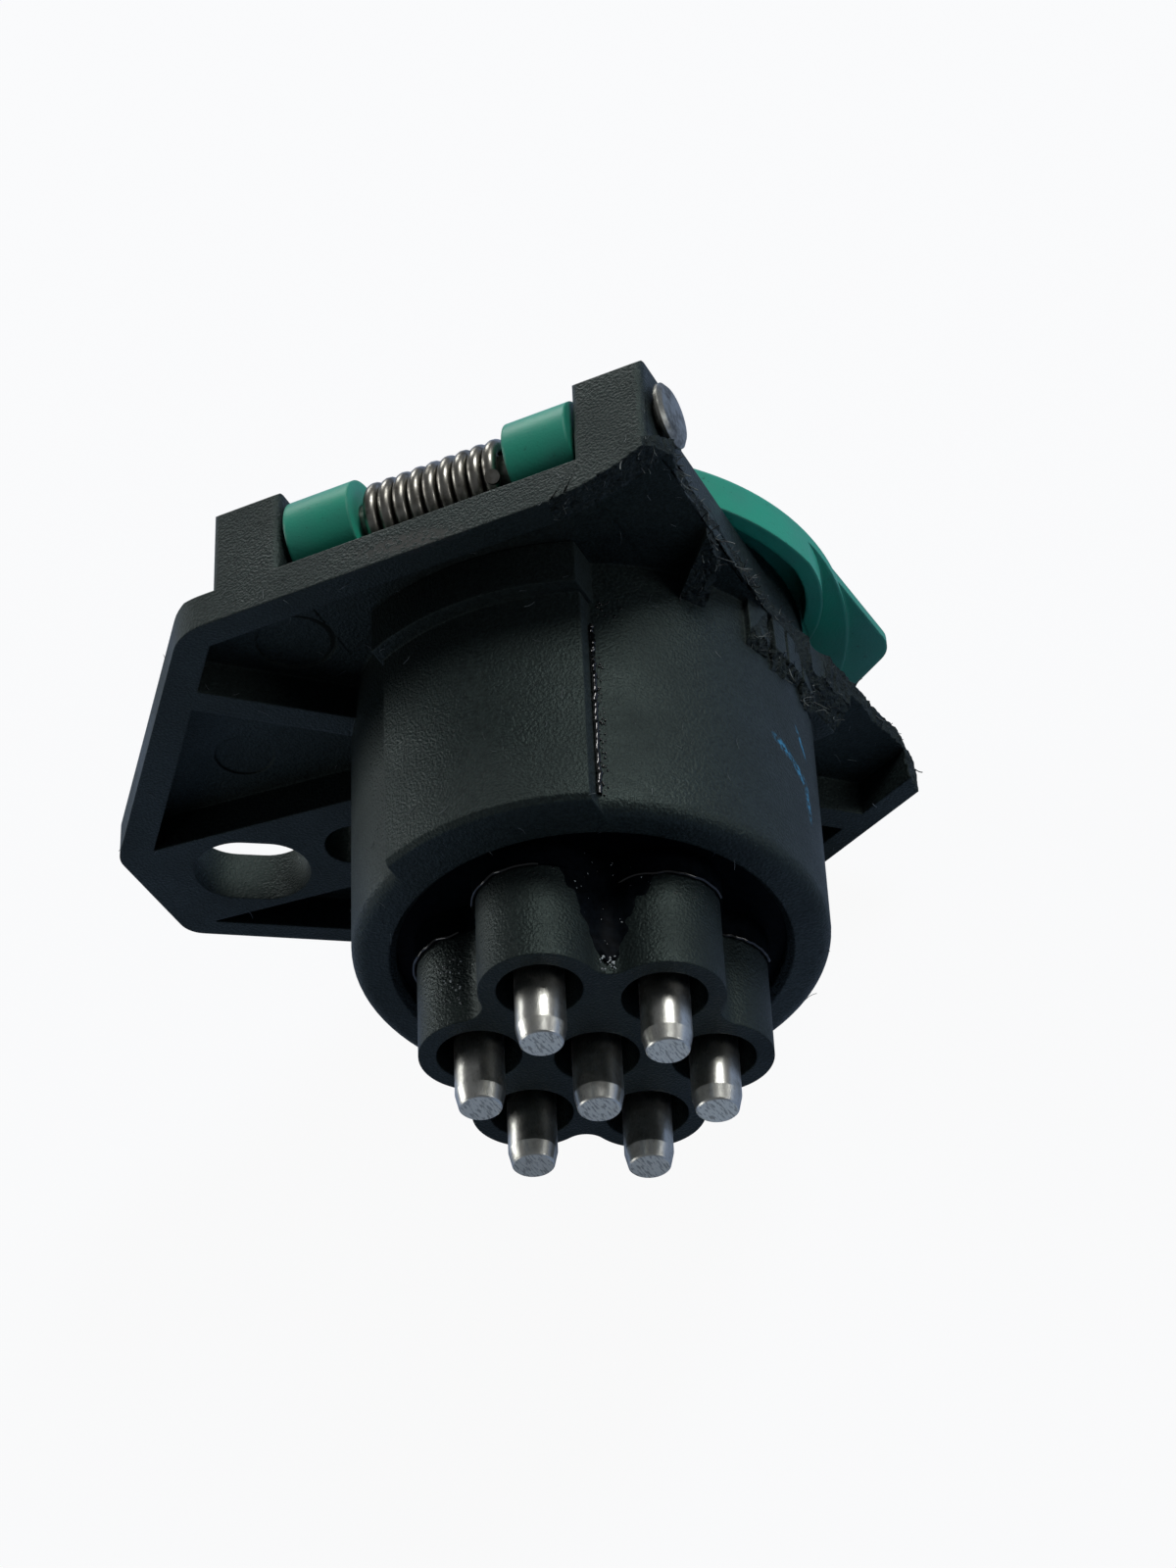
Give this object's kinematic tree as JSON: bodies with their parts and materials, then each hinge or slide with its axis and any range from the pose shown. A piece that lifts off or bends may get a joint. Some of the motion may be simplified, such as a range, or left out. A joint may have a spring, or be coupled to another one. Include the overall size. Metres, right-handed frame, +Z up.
{
  "type": "trailer socket",
  "caption": "Heavy-duty trailer socket: flanged round housing with push-on contact pins in tubes at the rear and a sprung flip lid over the plug cavity; one mounting ear broken off.",
  "frame": {"origin": "on the plug axis, in the plane of the flange's rear mounting face", "axes": "+Y along the plug axis, out of the plug opening; +Z up towards the hinge; +X along the hinge pin, towards its head and the broken ear"},
  "size_m": [0.0782, 0.0597, 0.0666],
  "materials": {
    "black_plastic": "matte, slightly dusty",
    "sealant": "glossy",
    "green_plastic": "satin",
    "steel": "plain, slightly tarnished"
  },
  "bodies": {
    "socket": {"housing": "black_plastic", "insert": "black_plastic", "sealant": "sealant", "pin_1": "steel", "pin_2": "steel", "pin_3": "steel", "pin_4": "steel", "pin_5": "steel", "pin_6": "steel", "pin_7": "steel", "hinge_pin": "steel", "spring": "steel"},
    "flip_lid": {"lid": "green_plastic"}
  },
  "joints": [
    {"name": "lid_hinge", "type": "hinge", "parent": "socket", "child": "flip_lid", "pos_m": [0, 0.0097, 0.0298], "axis": [1, 0, 0], "range_deg": [0, 110], "stiffness_Nm_per_rad": 0.03, "springref_deg": -34.38, "deforming": ["spring"]}
  ]
}
